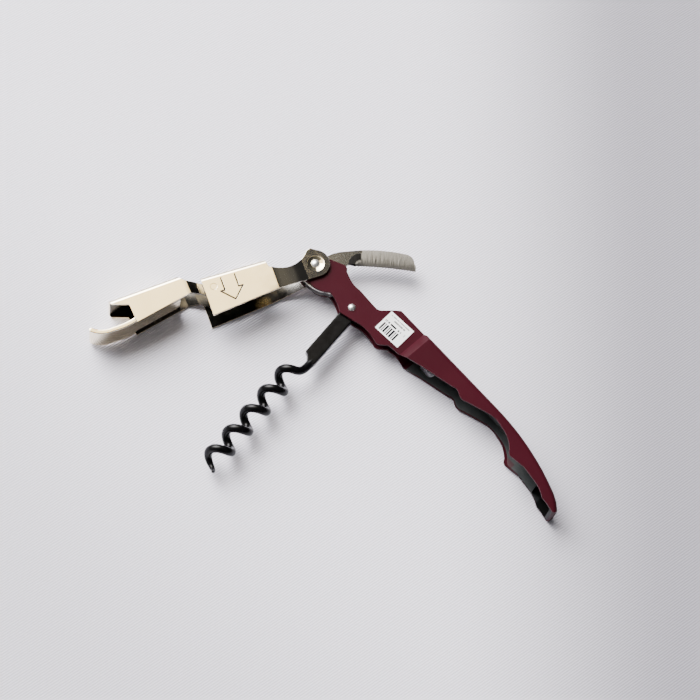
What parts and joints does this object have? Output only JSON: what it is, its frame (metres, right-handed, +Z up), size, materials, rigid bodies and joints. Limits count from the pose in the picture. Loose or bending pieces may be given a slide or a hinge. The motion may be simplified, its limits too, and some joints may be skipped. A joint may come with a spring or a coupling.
{
  "type": "lever corkscrew",
  "caption": "Folding waiter's corkscrew with a two-stage hinged lever, a coated spiral worm, a foil knife and a burgundy folded-steel handle, lying opened out.",
  "frame": {"origin": "centre of the opened-out object's outline, at the table surface", "axes": "+Z up, along every hinge axis; +X along the longest extent, from the lever's tip towards the grip's tail; +Y from the worm's tip towards the head"},
  "size_m": [0.1675, 0.0965, 0.0128],
  "materials": {
    "burgundy_paint": "satin paint with a soft sheen",
    "liner": "matt dark grey",
    "nickel": "bright nickel plate",
    "rivet_steel": "tumbled bright steel",
    "spring_steel": "plain rolled",
    "blade_steel": "cross-ground",
    "black_coating": "satin non-stick coating",
    "label_paper": "white coated paper with plain printed bars"
  },
  "bodies": {
    "handle": {"handle_shell": "burgundy_paint", "grip_liner": "liner", "price_label": "label_paper", "leaf_spring": "spring_steel", "head_rivet": "rivet_steel", "worm_rivet": "rivet_steel", "head_washers": "spring_steel", "knife_spacers": "spring_steel", "worm_washers": "spring_steel"},
    "first_lever": {"first_lever": "nickel", "link_pin": "nickel", "link_washers": "spring_steel"},
    "second_lever": {"second_lever": "nickel", "opener_tongue": "nickel", "tongue_pin": "rivet_steel"},
    "worm": {"worm": "black_coating"},
    "knife": {"knife_blade": "blade_steel"}
  },
  "joints": [
    {"name": "lever_hinge", "type": "hinge", "parent": "handle", "child": "first_lever", "pos_m": [-0.01836, 0.03438, 0.0064], "axis": [0, 0, 1], "range_deg": [-12, 106]},
    {"name": "second_lever_hinge", "type": "hinge", "parent": "first_lever", "child": "second_lever", "pos_m": [-0.04912, 0.01415, 0.0064], "axis": [0, 0, 1], "range_deg": [-45, 0]},
    {"name": "worm_hinge", "type": "hinge", "parent": "handle", "child": "worm", "pos_m": [-0.00203, 0.02276, 0.0064], "axis": [0, 0, 1], "range_deg": [-9.6, 84.8]},
    {"name": "knife_hinge", "type": "hinge", "parent": "handle", "child": "knife", "pos_m": [-0.01836, 0.03438, 0.0064], "axis": [0, 0, 1], "range_deg": [-39, 80]}
  ],
  "couplings": [
    {"joint": "worm_hinge", "follows": "lever_hinge", "ratio": 0.8}
  ]
}
